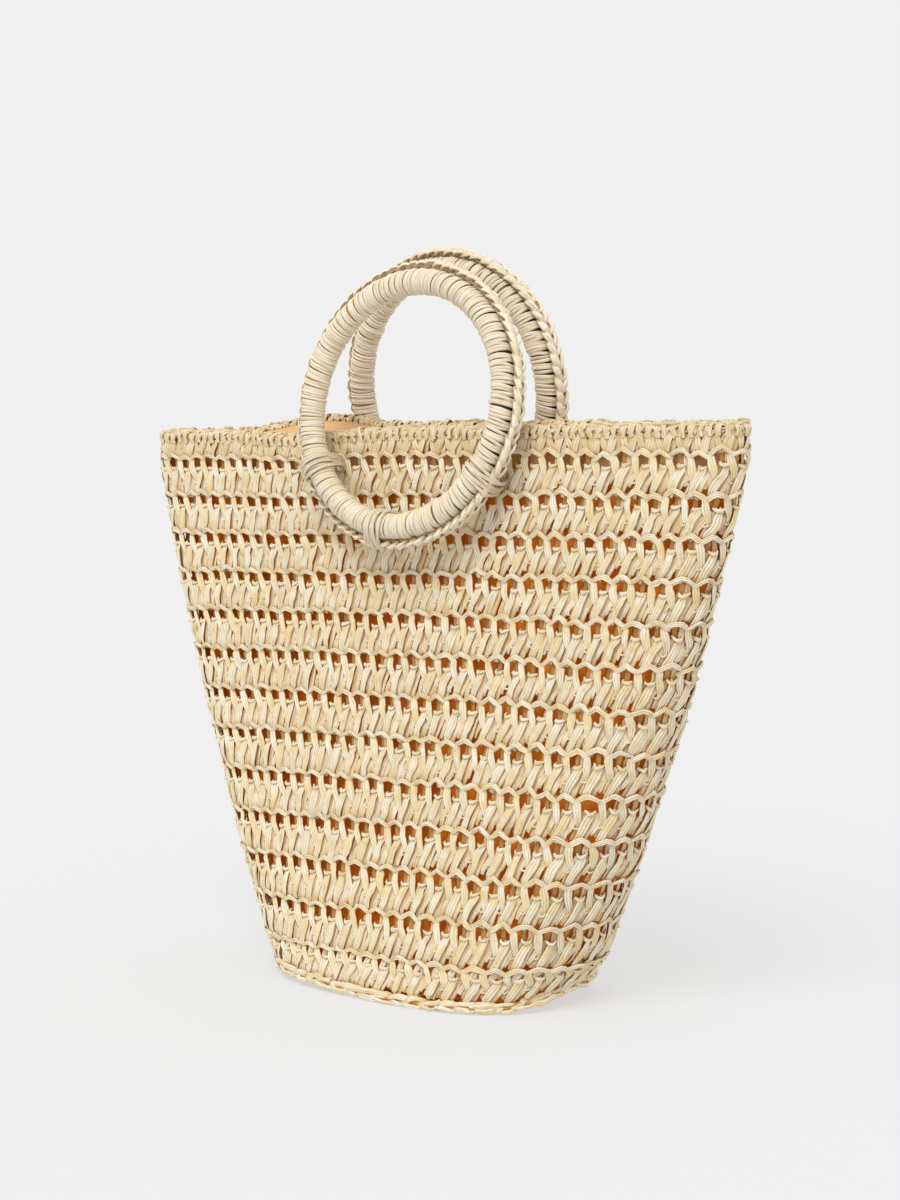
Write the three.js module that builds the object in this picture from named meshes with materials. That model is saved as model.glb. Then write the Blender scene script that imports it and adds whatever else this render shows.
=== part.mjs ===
// Straw basket bag: an open-work crocheted tote of paper straw with two wound ring handles.
// Millimetres, +Z up. The origin is the middle of the base, on the surface that the bag stands on.
// +X runs along the mouth and -Y is the front.
import * as THREE from 'three';

// Driving dimensions of the body.
const bagHeight = 290; // surface to the middle of the rim
const mouthLength = 384;
const mouthWidth = 22;
const baseLength = 180;
const baseWidth = 116;
const rimRise = 19; // how much higher the rim is at its +X end than at its -X end
const wallThickness = 3.5;
const clearance = 0.3; // between pieces that touch
const wallGap = 0.8; // between a lashing and the uneven wall

// The crochet: welts run round the body, each with a row of openings under it.
const welts = 13;
const weltRise = 1.6; // how far a welt stands out of the wall
const lowestWelt = 21; // height of the lowest welt
const openingsPerFace = 5;
const openingHeight = 5.5;
const openingDrop = 1.5; // welt to the top of its openings
const openingShare = 0.5; // opening's part of the opening and the post beside it
const endColumns = [8, 18]; // widths of the solid columns round each narrow end

// The close-worked rim, the base and its braided edge.
const rimHeight = 15;
const rimThickness = 4.5;
const baseThickness = 4;
const braidRadius = 3;

// The cloth lining, a pouch that hangs inside from the rim.
const liningThickness = 1;
const liningTuck = 5; // rim's top edge to the lining's
const liningSlack = 1; // how much further in it hangs below its seam

// The ring handles, wound with straw and edged with a crocheted chain.
const ringRadius = 62.5; // to the middle of the tube
const tubeRadius = 6.6;
const chainRadius = 2.3;
const lashingWidth = 10;
const lashingThickness = 1.2;
const lashingSwell = 4; // how narrow its swellings are, as a power of the cosine

// How full the mesh is.
const outlineSteps = 200;
const braidSides = 8;
const ringSteps = 32;
const tubeSides = 10;
const chainSides = 5;
const chainStep = 9; // degrees of the ring per step of chain
const lashingSteps = 2;
const lashingSides = 12;

// Level sections. height is a share of bagHeight; length and width run from 0, the base's, to 1, the
// mouth's; roundness is the radius of the ends as a share of the half width; lift is the share of
// rimRise felt there.
const sections = [
  { height: 0.0, length: 0.0, width: 0.0, roundness: 0.9, lift: 0.0 },
  { height: 0.06, length: 0.09, width: 0.1, roundness: 0.9, lift: 0.3 },
  { height: 0.25, length: 0.345, width: 0.36, roundness: 0.86, lift: 0.75 },
  { height: 0.5, length: 0.63, width: 0.63, roundness: 0.82, lift: 0.85 },
  { height: 0.75, length: 0.855, width: 0.83, roundness: 0.8, lift: 1.0 },
  { height: 0.93, length: 0.99, width: 0.96, roundness: 0.8, lift: 1.0 },
  { height: 1.0, length: 1.0, width: 1.0, roundness: 0.8, lift: 1.0 },
];

// Slack folds of the mouth. side is -1 at the front and 1 at the back; centre and spread are shares of
// the half length; start is the share of bagHeight where the fold begins; out is a share of mouthWidth,
// away from the middle; drop is a share of rimHeight.
const folds = [
  { side: -1, centre: -0.36, spread: 0.4, start: 0.5, out: 0.2, drop: 0.3 },
  { side: 1, centre: -0.36, spread: 0.4, start: 0.5, out: 0.1, drop: 0.2 },
  { side: 1, centre: 0.0, spread: 0.9, start: 0.75, out: 0.15, drop: -0.12 },
];

// The rings. side is -1 at the front and 1 at the back; lean is in degrees, its top towards the mouth;
// rise is from the middle of the rim to the ring's centre, as a share of ringRadius; shift is along the
// mouth, in millimetres; chain is where round the tube the chain lies, in degrees from straight out of
// the ring, and below 0 towards the wall.
const rings = [
  { name: 'front', side: -1, lean: 12, rise: 0.16, shift: 2.5, chain: -24 },
  { name: 'back', side: 1, lean: 5, rise: 0.24, shift: -8, chain: 20 },
];

// Lashings that bind a ring and its chain to the wall, in degrees round the ring from +X.
const lashings = [
  { name: 'right', angle: -32 },
  { name: 'bottom', angle: -96 },
  { name: 'left', angle: -148 },
];

const strawColour = 0xe9d8b4;
const strawRoughness = 0.75;
const liningColour = 0xd9b98c;
const liningRoughness = 0.9;

const degrees = Math.PI / 180;
const fullTurn = 2 * Math.PI;
const lerp = THREE.MathUtils.lerp;

/** The sizes of the level section at a share of the bag's height. */
function sectionAt(share) {
  const height = THREE.MathUtils.clamp(share, 0, 1);
  const upper = Math.max(1, sections.findIndex((row) => row.height >= height));
  const low = sections[upper - 1];
  const high = sections[upper];
  const part = (height - low.height) / (high.height - low.height);
  const halfWidth = lerp(baseWidth, mouthWidth, lerp(low.width, high.width, part)) / 2;
  return {
    halfLength: lerp(baseLength, mouthLength, lerp(low.length, high.length, part)) / 2,
    halfWidth,
    endRadius: halfWidth * lerp(low.roundness, high.roundness, part),
    lift: lerp(low.lift, high.lift, part) * rimRise,
  };
}

/** How far the mouth's folds push a point out and down, for a side and a place along the mouth. */
function foldAt(side, place, share) {
  let out = 0;
  let drop = 0;
  for (const fold of folds.filter((row) => row.side === side)) {
    const strength = Math.max(0, (share - fold.start) / (1 - fold.start));
    const away = Math.min(1, Math.abs(place - fold.centre) / fold.spread);
    const bump = strength * Math.cos((away * Math.PI) / 2) ** 2;
    out += bump * fold.out * mouthWidth;
    drop += bump * fold.drop * rimHeight;
  }
  return { out, drop };
}

/** A point of the outline, a rounded oval, by the direction that it faces. */
function outlinePoint(turn, share, section) {
  const cos = Math.cos(turn);
  const sin = Math.sin(turn);
  const long = section.halfLength - section.endRadius;
  const short = section.halfWidth - section.endRadius;
  const reach = Math.hypot(long * cos, short * sin);
  const x = (long * long * cos) / reach + section.endRadius * cos;
  const side = sin < 0 ? -1 : 1;
  const fold = foldAt(side, x / section.halfLength, share);
  const y = (short * short * sin) / reach + section.endRadius * sin + fold.out * sin;
  return { x, y, turn, drop: fold.drop * Math.abs(sin) };
}

/** The directions to sample: even steps round the ends and even steps along the sides. */
function outlineTurns(section) {
  const long = section.halfLength - section.endRadius;
  const short = section.halfWidth - section.endRadius;
  const turns = [0, fullTurn];
  for (let i = 1; i < outlineSteps; i++) {
    const even = (i / outlineSteps) * fullTurn;
    const between = ((i - 0.5) / outlineSteps) * fullTurn;
    const along = Math.atan2(long * Math.sin(between), short * Math.cos(between));
    turns.push(even, (along + fullTurn) % fullTurn);
  }
  return turns.sort((a, b) => a - b);
}

const outlines = new Map();

/** The outline at a share of the height, as points with the lengths run along it. */
function outlineAt(share) {
  const key = share.toFixed(5);
  if (outlines.has(key)) return outlines.get(key);
  const section = sectionAt(share);
  const points = outlineTurns(section).map((turn) => outlinePoint(turn, share, section));
  let run = 0;
  points.forEach((point, i) => {
    const before = points[Math.max(0, i - 1)];
    run += Math.hypot(point.x - before.x, point.y - before.y);
    point.run = run;
  });
  const outline = { points, length: run, lift: section.lift };
  outlines.set(key, outline);
  return outline;
}

/** A point on the body: round is the share of the way round, out the distance outside the outline. */
function bodyPoint(round, height, out) {
  const outline = outlineAt(height / bagHeight);
  const run = round * outline.length;
  const after = Math.max(1, outline.points.findIndex((point) => point.run >= run));
  const a = outline.points[after - 1];
  const b = outline.points[after];
  const part = (run - a.run) / (b.run - a.run);
  const turn = lerp(a.turn, b.turn, part);
  const x = lerp(a.x, b.x, part) + Math.cos(turn) * out;
  const y = lerp(a.y, b.y, part) + Math.sin(turn) * out;
  const z = height + (outline.lift * x) / mouthLength - lerp(a.drop, b.drop, part);
  return new THREE.Vector3(x, y, z);
}

/** Collects shared corners and faces, and gives a closed geometry. */
class Solid {
  constructor() {
    this.corners = [];
    this.faces = [];
  }

  /** Adds one loop of corners and returns their numbers. */
  loop(points) {
    const first = this.corners.length;
    this.corners.push(...points);
    return points.map((point, i) => first + i);
  }

  quad(a, b, c, d) {
    this.faces.push(a, b, c, a, c, d);
  }

  /** Joins two closed loops with a band of faces, less the columns that skip says are open. */
  band(low, high, skip = () => false) {
    low.forEach((corner, i) => {
      const next = (i + 1) % low.length;
      if (!skip(i)) this.quad(corner, low[next], high[next], high[i]);
    });
  }

  /** Closes a loop with a fan round its middle. */
  cap(loop, middle, flip) {
    const [centre] = this.loop([middle]);
    loop.forEach((corner, i) => {
      const next = loop[(i + 1) % loop.length];
      if (flip) this.faces.push(centre, next, corner);
      else this.faces.push(centre, corner, next);
    });
  }

  geometry() {
    const geometry = new THREE.BufferGeometry().setFromPoints(this.corners);
    geometry.setIndex(this.faces);
    geometry.computeVertexNormals();
    return geometry;
  }
}

const middleOf = (points) =>
  points.reduce((sum, point) => sum.add(point), new THREE.Vector3()).divideScalar(points.length);

/** The columns of the net: their edges as shares of the way round, and which of them are open. */
function netColumns() {
  const halfRound = outlineAt(1).length / 2;
  const ends = endColumns.map((width) => width / halfRound);
  const faceShare = 1 - 2 * ends.reduce((sum, width) => sum + width, 0);
  const post = 1 - openingShare;
  const unit = faceShare / (openingsPerFace * openingShare + (openingsPerFace - 1) * post);
  const halves = (width, open) => [0, 1].map(() => ({ width: width / 2, open }));
  const widths = ends.map((width) => ({ width, open: false }));
  for (let i = 0; i < openingsPerFace; i++) {
    if (i > 0) widths.push(...halves(unit * post, false));
    widths.push(...halves(unit * openingShare, true));
  }
  widths.push(...ends.toReversed().map((width) => ({ width, open: false })));
  const columns = [];
  for (let face = 0; face < 2; face++) {
    let run = face;
    for (const column of widths) {
      columns.push({ round: run / 2, open: column.open });
      run += column.width;
    }
  }
  return columns;
}

const columns = netColumns();

/** A loop of points round the body, one to each column's edge. */
const bodyLoop = (height, out) => columns.map(({ round }) => bodyPoint(round, height, out));

/** The same loop laid level, at its own height or with the outline of another. */
const levelLoop = (height, out, outlineHeight = height) =>
  columns.map(({ round }) => bodyPoint(round, outlineHeight, out).setZ(height));

const wallFoot = 2 * braidRadius + 2 * clearance;
const topWelt = bagHeight - rimHeight;
const weltPitch = (topWelt - lowestWelt) / (welts - 1);
const openingTop = weltPitch - openingDrop; // over the welt below it
const openingBottom = openingTop - openingHeight;

/** How far the wall stands out of the body's outline at a height. */
function weltOut(height) {
  if (height < lowestWelt) return (weltRise * (height - wallFoot)) / (lowestWelt - wallFoot);
  const above = (height - lowestWelt) % weltPitch;
  if (above < openingBottom) return weltRise * (1 - above / openingBottom);
  return (weltRise * Math.max(0, above - openingTop)) / openingDrop;
}

/** The crocheted wall: welts all round and openings cut through under all but the lowest. */
function basketWall() {
  const isOpen = (i) => columns[i].open;
  const solid = new Solid();
  const outer = (height) => solid.loop(bodyLoop(height, weltOut(height)));
  const inner = (height) => solid.loop(bodyLoop(height, -wallThickness));
  let outside = solid.loop(levelLoop(wallFoot, 0));
  let inside = solid.loop(levelLoop(wallFoot, -wallThickness));
  solid.band(inside, outside);
  const outerTo = (height) => {
    const next = outer(height);
    solid.band(outside, next);
    outside = next;
  };
  const innerTo = (height) => {
    const next = inner(height);
    solid.band(next, inside);
    inside = next;
  };
  outerTo(lowestWelt);
  innerTo(lowestWelt);
  for (let i = 1; i < welts; i++) {
    const below = lowestWelt + (i - 1) * weltPitch;
    outerTo(below + openingBottom);
    innerTo(below + openingBottom);
    const topOut = outer(below + openingTop);
    const topIn = inner(below + openingTop);
    solid.band(outside, topOut, isOpen);
    solid.band(topIn, inside, isOpen);
    columns.forEach((column, j) => {
      const next = (j + 1) % columns.length;
      const before = columns[(j + columns.length - 1) % columns.length];
      if (!column.open) return;
      solid.quad(outside[j], outside[next], inside[next], inside[j]);
      solid.quad(topOut[next], topOut[j], topIn[j], topIn[next]);
      if (!before.open) solid.quad(outside[j], inside[j], topIn[j], topOut[j]);
      if (!columns[next].open) solid.quad(inside[next], outside[next], topOut[next], topIn[next]);
    });
    outside = topOut;
    inside = topIn;
    outerTo(below + weltPitch);
  }
  innerTo(topWelt);
  solid.band(outside, inside);
  return solid.geometry();
}

const reachWindow = (2 * mouthLength) / outlineSteps; // holds at least one point of the outline

/** How far the wall's outside lies from the middle plane on one side, at a place beside it. */
function wallReach(side, x, z) {
  const share = z / bagHeight;
  const section = sectionAt(share);
  const { drop } = foldAt(side, x / section.halfLength, share);
  const height = Math.min(topWelt, z - (section.lift * x) / mouthLength + drop);
  const { points } = outlineAt(height / bagHeight);
  const near = points.filter((point) => point.y * side > 0 && Math.abs(point.x - x) < reachWindow);
  return Math.max(...near.map((point) => point.y * side)) + weltOut(height);
}

const rimProud = (rimThickness - wallThickness) / 2;

/** The close-worked rim over the top welt. */
function rimBand() {
  const solid = new Solid();
  const foot = topWelt + clearance;
  const outside = [foot, bagHeight].map((height) => solid.loop(bodyLoop(height, rimProud)));
  const inside = [bagHeight, foot].map((height) => solid.loop(bodyLoop(height, rimProud - rimThickness)));
  const loops = [...outside, ...inside];
  loops.forEach((loop, i) => solid.band(loop, loops[(i + 1) % loops.length]));
  return solid.geometry();
}

/** The flat crocheted base, inside its braid. */
function basePanel() {
  const solid = new Solid();
  const inset = braidRadius + clearance;
  const low = solid.loop(levelLoop(0, -inset, braidRadius));
  const high = solid.loop(levelLoop(baseThickness, -inset, braidRadius));
  solid.cap(low, new THREE.Vector3(0, 0, 0), true);
  solid.band(low, high);
  solid.cap(high, new THREE.Vector3(0, 0, baseThickness), false);
  return solid.geometry();
}

/** The braided chain that joins the base to the wall, lying round the base's edge. */
function baseBraid() {
  const solid = new Solid();
  const loops = [];
  for (let i = 0; i < braidSides; i++) {
    const turn = (i / braidSides) * fullTurn;
    const out = braidRadius * Math.cos(turn);
    const height = clearance + braidRadius * (1 + Math.sin(turn));
    loops.push(solid.loop(levelLoop(height, out, braidRadius)));
  }
  loops.forEach((loop, i) => solid.band(loop, loops[(i + 1) % loops.length]));
  return solid.geometry();
}

/** The cloth lining: a pouch with its mouth just under the rim's edge. */
function lining() {
  const solid = new Solid();
  const seam = rimProud - rimThickness - clearance;
  const floor = baseThickness + clearance;
  const top = bagHeight - liningTuck;
  const heights = sections.map((row) => row.height * bagHeight);
  const levels = heights.filter((height) => height > wallFoot && height < top);
  const skin = (height, inset) => [
    solid.loop(levelLoop(height, seam - liningSlack - inset, braidRadius)),
    ...levels.map((level) => solid.loop(bodyLoop(level, seam - liningSlack - inset))),
    solid.loop(bodyLoop(top, seam - inset)),
  ];
  const outside = skin(floor, 0);
  const inside = skin(floor + liningThickness, liningThickness);
  outside.slice(1).forEach((loop, i) => solid.band(outside[i], loop));
  inside.slice(1).forEach((loop, i) => solid.band(loop, inside[i]));
  solid.band(outside.at(-1), inside.at(-1));
  solid.cap(outside[0], new THREE.Vector3(0, 0, floor), true);
  solid.cap(inside[0], new THREE.Vector3(0, 0, floor + liningThickness), false);
  return solid.geometry();
}

const chainOffset = tubeRadius + clearance + chainRadius;
const facetSlack = ringRadius * (1 - Math.cos(Math.PI / ringSteps)); // the flats of the ring
const sleeveRadius = tubeRadius + clearance + facetSlack;

/** A ring's centre and axes: up runs to its top and away points out from the bag. */
function ringFrame(ring) {
  const lean = ring.lean * degrees;
  const up = new THREE.Vector3(0, -ring.side * Math.sin(lean), Math.cos(lean));
  const away = new THREE.Vector3(0, ring.side * Math.cos(lean), Math.sin(lean));
  const centreHeight = bagHeight + ring.rise * ringRadius;
  const sleeve = (sleeveRadius + lashingThickness + wallGap) / Math.cos(lean);
  let reach = 0;
  for (let i = 0; i <= outlineSteps; i++) {
    const angle = (-Math.PI * i) / outlineSteps;
    const x = ring.shift + ringRadius * Math.cos(angle);
    const rise = ringRadius * Math.sin(angle);
    const z = centreHeight + rise * up.z;
    if (z < bagHeight) {
      reach = Math.max(reach, wallReach(ring.side, x, z) + sleeve + rise * Math.sin(lean));
    }
  }
  return { centre: new THREE.Vector3(ring.shift, ring.side * reach, centreHeight), up, away };
}

/** A point beside a ring's tube: angle is round the ring, out and away are from the tube's middle. */
function ringPoint(frame, angle, out, away) {
  const radial = new THREE.Vector3(Math.cos(angle), 0, 0).addScaledVector(frame.up, Math.sin(angle));
  return frame.centre
    .clone()
    .addScaledVector(radial, ringRadius + out)
    .addScaledVector(frame.away, away);
}

/** One section across a ring's tube, as radii by angle, at an angle round the ring. */
function tubeLoop(frame, angle, sides, radiusAt, middle = { out: 0, away: 0 }) {
  return Array.from({ length: sides }, (_, i) => {
    const turn = (i / sides) * fullTurn;
    const radius = radiusAt(turn);
    const out = middle.out + radius * Math.cos(turn);
    return ringPoint(frame, angle, out, middle.away + radius * Math.sin(turn));
  });
}

/** The wound ring. */
function ringHandle(ring, frame) {
  const solid = new Solid();
  const loops = [];
  for (let i = 0; i < ringSteps; i++) {
    const angle = (i / ringSteps) * fullTurn * ring.side;
    loops.push(solid.loop(tubeLoop(frame, angle, tubeSides, () => tubeRadius)));
  }
  loops.forEach((loop, i) => solid.band(loop, loops[(i + 1) % loops.length]));
  return solid.geometry();
}

/** Where a ring's chain lies beside its tube. */
function chainMiddle(ring) {
  const turn = ring.chain * degrees;
  return { out: chainOffset * Math.cos(turn), away: chainOffset * Math.sin(turn) };
}

/** Turns the loops of an open sweep round a ring into a capped solid, whichever way the ring faces. */
function cappedSweep(ring, sweep) {
  const ordered = ring.side > 0 ? sweep : sweep.toReversed();
  const solid = new Solid();
  const loops = ordered.map((points) => solid.loop(points));
  loops.slice(1).forEach((loop, i) => solid.band(loops[i], loop));
  solid.cap(loops[0], middleOf(ordered[0]), true);
  solid.cap(loops.at(-1), middleOf(ordered.at(-1)), false);
  return solid.geometry();
}

/** A stretch of the crocheted chain along a ring's outer edge, between two angles in degrees. */
function ringChain(ring, frame, from, to) {
  const steps = Math.max(2, Math.ceil((to - from) / chainStep));
  const sweep = [];
  for (let i = 0; i <= steps; i++) {
    const angle = lerp(from, to, i / steps) * degrees;
    sweep.push(tubeLoop(frame, angle, chainSides, () => chainRadius, chainMiddle(ring)));
  }
  return cappedSweep(ring, sweep);
}

const lashingHalf = lashingWidth / 2 / ringRadius / degrees; // half its width, in degrees of the ring

/** A lashing: a hollow sleeve round the tube, swelling over the chain and in to the wall. */
function ringLashing(ring, frame, middle) {
  const solid = new Solid();
  const swellTo = (turn, target) => Math.max(0, Math.cos(turn - target)) ** lashingSwell;
  const plainRadius = sleeveRadius + lashingThickness;
  const loopsAt = (radiusAt) => {
    const loops = [];
    for (let i = 0; i <= lashingSteps; i++) {
      const angle = (middle + lerp(-lashingHalf, lashingHalf, i / lashingSteps)) * degrees;
      const tube = ringPoint(frame, angle, 0, 0);
      const toWall = Math.abs(tube.y) - wallReach(ring.side, tube.x, tube.z) - wallGap;
      const wallSwell = Math.max(0, toWall - plainRadius);
      loops.push(solid.loop(tubeLoop(frame, angle, lashingSides, (turn) => radiusAt(turn, wallSwell))));
    }
    return ring.side > 0 ? loops : loops.toReversed();
  };
  const outside = loopsAt((turn, wallSwell) => {
    const overChain = 2 * chainRadius * swellTo(turn, ring.chain * degrees);
    return plainRadius + overChain + wallSwell * swellTo(turn, -Math.PI / 2);
  });
  const inside = loopsAt(() => sleeveRadius);
  const round = [...outside, ...inside.toReversed()];
  round.forEach((loop, i) => solid.band(loop, round[(i + 1) % round.length]));
  return solid.geometry();
}

const group = new THREE.Group();

/** Adds one named piece to the bag. */
function addPiece(name, geometry, color, roughness) {
  const material = new THREE.MeshStandardMaterial({ color, roughness, metalness: 0 });
  const mesh = new THREE.Mesh(geometry, material);
  mesh.name = name;
  group.add(mesh);
}

addPiece('basket_wall', basketWall(), strawColour, strawRoughness);
addPiece('rim_band', rimBand(), strawColour, strawRoughness);
addPiece('base_panel', basePanel(), strawColour, strawRoughness);
addPiece('base_braid', baseBraid(), strawColour, strawRoughness);
addPiece('lining', lining(), liningColour, liningRoughness);

for (const ring of rings) {
  const frame = ringFrame(ring);
  addPiece(`ring_handle_${ring.name}`, ringHandle(ring, frame), strawColour, strawRoughness);
  lashings.forEach((lashing, i) => {
    const previous = i === 0 ? lashings.at(-1).angle + 360 : lashings[i - 1].angle;
    const margin = lashingHalf + clearance / ringRadius / degrees;
    const chain = ringChain(ring, frame, lashing.angle + margin, previous - margin);
    const stretch = i === 0 ? 'top' : `below_${lashings[i - 1].name}`;
    addPiece(`ring_chain_${ring.name}_${stretch}`, chain, strawColour, strawRoughness);
    const sleeve = ringLashing(ring, frame, lashing.angle);
    addPiece(`ring_lashing_${ring.name}_${lashing.name}`, sleeve, strawColour, strawRoughness);
  });
}

export default group;
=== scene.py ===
"""Straw basket bag: crocheted straw strands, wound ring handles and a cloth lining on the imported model."""

import logging
import math
from dataclasses import dataclass, field
from enum import Enum
from typing import Callable, Iterable

import bpy
import numpy as np
from mathutils import Matrix, Vector


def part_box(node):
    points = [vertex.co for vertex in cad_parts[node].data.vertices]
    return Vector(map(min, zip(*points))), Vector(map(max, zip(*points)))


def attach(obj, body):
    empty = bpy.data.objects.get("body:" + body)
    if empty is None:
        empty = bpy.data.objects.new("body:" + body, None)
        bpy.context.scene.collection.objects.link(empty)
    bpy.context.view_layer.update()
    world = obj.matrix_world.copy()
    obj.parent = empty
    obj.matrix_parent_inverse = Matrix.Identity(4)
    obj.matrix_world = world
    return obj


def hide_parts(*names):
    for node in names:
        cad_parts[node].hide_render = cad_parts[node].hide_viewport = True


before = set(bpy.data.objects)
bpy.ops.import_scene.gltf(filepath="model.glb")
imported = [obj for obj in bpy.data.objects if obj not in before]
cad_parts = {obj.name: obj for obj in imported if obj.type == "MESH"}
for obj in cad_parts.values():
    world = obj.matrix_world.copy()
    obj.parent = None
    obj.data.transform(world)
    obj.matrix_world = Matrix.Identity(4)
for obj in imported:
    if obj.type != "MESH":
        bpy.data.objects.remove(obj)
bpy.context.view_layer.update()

LOG = logging.getLogger("straw_basket_bag")
MM = 0.001  # the sizes here are millimetres, and the scene is in metres
BODY = "root"
FULL_TURN = 2 * math.pi

Array = np.ndarray
CurveAt = Callable[[Array], tuple[Array, Array, Array]]


class Slot(Enum):
    """The record's material slots."""

    CROCHET = "straw_crochet"
    WINDING = "straw_winding"
    CLOTH = "lining_cloth"


def srgb(red: int, green: int, blue: int) -> tuple[float, float, float, float]:
    """Turns a screen colour into the linear one that a shader takes.

    Args:
        red: red, from 0 to 255.
        green: green, from 0 to 255.
        blue: blue, from 0 to 255.

    Returns:
        The linear colour, with an alpha of 1.
    """
    linear = [((c / 255 + 0.055) / 1.055) ** 2.4 for c in (red, green, blue)]
    return (*linear, 1.0)


def unit(vectors: Array) -> Array:
    """Scales vectors to a length of 1."""
    return vectors / np.maximum(np.linalg.norm(vectors, axis=-1, keepdims=True), 1e-9)


@dataclass(frozen=True)
class Section:
    """A level section of the body, as shares of its driving sizes."""

    height: float
    length: float
    width: float
    roundness: float
    lift: float


@dataclass(frozen=True)
class Fold:
    """A slack fold of the mouth: side is -1 at the front and 1 at the back."""

    side: int
    centre: float
    spread: float
    start: float
    out: float
    drop: float


@dataclass
class BagForm:
    """The bag's outline at every height: the solids' sections, with an arch, folds and a curled foot."""

    height: float = 290.0
    mouth_length: float = 384.0
    mouth_width: float = 22.0
    base_length: float = 180.0
    base_width: float = 116.0
    rim_rise: float = 17.5
    rim_height: float = 15.0
    step: float = 2.0
    lowest: float = -4.0
    highest: float = 304.0
    columns: int = 1200
    sections: tuple[Section, ...] = (
        Section(0.0, 0.0, 0.0, 0.9, 0.0),
        Section(0.06, 0.09, 0.1, 0.9, 0.3),
        Section(0.25, 0.345, 0.36, 0.86, 0.75),
        Section(0.5, 0.63, 0.63, 0.82, 0.85),
        Section(0.75, 0.855, 0.83, 0.8, 1.0),
        Section(0.93, 0.99, 0.96, 0.8, 1.0),
        Section(1.0, 1.0, 1.0, 0.8, 1.0),
    )
    folds: tuple[Fold, ...] = (
        Fold(-1, -0.45, 0.34, 0.7, 0.2, 0.15),
        Fold(1, -0.45, 0.32, 0.7, 0.35, -0.36),
        Fold(1, 0.0, 0.9, 0.75, 0.15, -0.12),
    )
    arch: float = 5.8  # how much higher the rows sit halfway up than if they were straight
    arch_taper: float = 0.45  # the share of the arch that is gone at the ends of a row
    curl_rise: float = 13.0  # how far the foot curls up at curl_start + curl_reach, towards the right
    curl_start: float = 60.0
    curl_reach: float = 45.0
    curl_skew: float = 0.35
    curl_height: float = 26.0
    curl_limit: float = 1.2
    curl_power: float = 1.5
    left_rise: float = 4.0  # how far it rises at left_start - left_reach, towards the left
    left_reach: float = 110.0
    left_start: float = 20.0

    def __post_init__(self) -> None:
        """Works out the table of points and normals that place() reads."""
        self.levels = np.arange(self.lowest, self.highest + self.step, self.step)
        rows = [self.outline(level / self.height) for level in self.levels]
        self.lengths = np.array([length for _, length in rows])
        points = np.stack([row for row, _ in rows])
        points[..., 2] += self.levels[:, None]
        points[..., 2] += self.curl(points) * np.clip(1 - points[..., 2] / self.curl_height, 0, 1)
        along = np.empty_like(points)
        along[:, 1:-1] = points[:, 2:] - points[:, :-2]
        along[:, 0] = along[:, -1] = points[:, 1] - points[:, -2]
        up = np.gradient(points, axis=0)
        self.points = points
        self.normals = unit(np.cross(along, up))

    def curl(self, points: Array) -> Array:
        """Says how far the foot curls up at each point's place over the floor."""
        place = (points[..., 0] + self.curl_skew * points[..., 1] - self.curl_start) / self.curl_reach
        left = (self.left_start - points[..., 0]) / self.left_reach
        right_curl = self.curl_rise * np.clip(place, 0, self.curl_limit) ** self.curl_power
        return right_curl + self.left_rise * np.clip(left, 0, self.curl_limit)

    def section(self, share: float) -> tuple[float, float, float, float]:
        """Gives the sizes of the level section at a share of the height.

        Args:
            share: the share of the bag's height.

        Returns:
            Half the length, half the width, the radius of the ends, and the lift of the rim felt there.
        """
        heights = [row.height for row in self.sections]
        share = min(max(share, 0.0), 1.0)

        def at(name: str) -> float:
            """Reads one column of the sections at this height."""
            return float(np.interp(share, heights, [getattr(row, name) for row in self.sections]))

        half_length = (self.base_length + (self.mouth_length - self.base_length) * at("length")) / 2
        half_width = (self.base_width + (self.mouth_width - self.base_width) * at("width")) / 2
        return half_length, half_width, half_width * at("roundness"), at("lift") * self.rim_rise

    def fold(self, side: Array, place: Array, share: float) -> tuple[Array, Array]:
        """Says how far the folds push the wall.

        Args:
            side: -1 at the front and 1 at the back, for each point.
            place: where each point is along the mouth, as a share of the half length.
            share: the share of the bag's height.

        Returns:
            How far out and how far down each point goes.
        """
        out = np.zeros_like(place)
        drop = np.zeros_like(place)
        for row in self.folds:
            strength = max(0.0, (share - row.start) / (1 - row.start))
            away = np.minimum(1.0, np.abs(place - row.centre) / row.spread)
            bump = strength * np.cos(away * math.pi / 2) ** 2 * (side == row.side)
            out += bump * row.out * self.mouth_width
            drop += bump * row.drop * self.rim_height
        return out, drop

    def outline(self, share: float) -> tuple[Array, float]:
        """Gives the outline at a share of the height, in even steps round it.

        Args:
            share: the share of the bag's height.

        Returns:
            Points whose z is the change from the level, and the length round.
        """
        half_length, half_width, end, lift = self.section(share)
        long, short = half_length - end, half_width - end
        even = np.linspace(0, FULL_TURN, self.columns + 1)
        middle = (even[1:] + even[:-1]) / 2
        along = np.arctan2(long * np.sin(middle), short * np.cos(middle)) % FULL_TURN
        turn = np.sort(np.concatenate([even, along]))
        cos, sin = np.cos(turn), np.sin(turn)
        reach = np.hypot(long * cos, short * sin)
        x = long**2 * cos / reach + end * cos
        out, drop = self.fold(np.where(sin < 0, -1, 1), x / half_length, share)
        y = short**2 * sin / reach + end * sin + out * sin
        halfway = math.sin(math.pi * min(max(share, 0.0), 1.0))
        rise = self.arch * halfway * (1 - self.arch_taper * (x / half_length) ** 2)
        z = lift * x / self.mouth_length - drop * np.abs(sin) + rise
        run = np.concatenate([[0.0], np.cumsum(np.hypot(np.diff(x), np.diff(y)))])
        stops = np.linspace(0, run[-1], self.columns + 1)
        points = np.stack([np.interp(stops, run, axis) for axis in (x, y, z)], axis=-1)
        return points, float(run[-1])

    def length_at(self, height: float) -> float:
        """Gives the length round the bag at a height."""
        return float(np.interp(height, self.levels, self.lengths))

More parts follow.
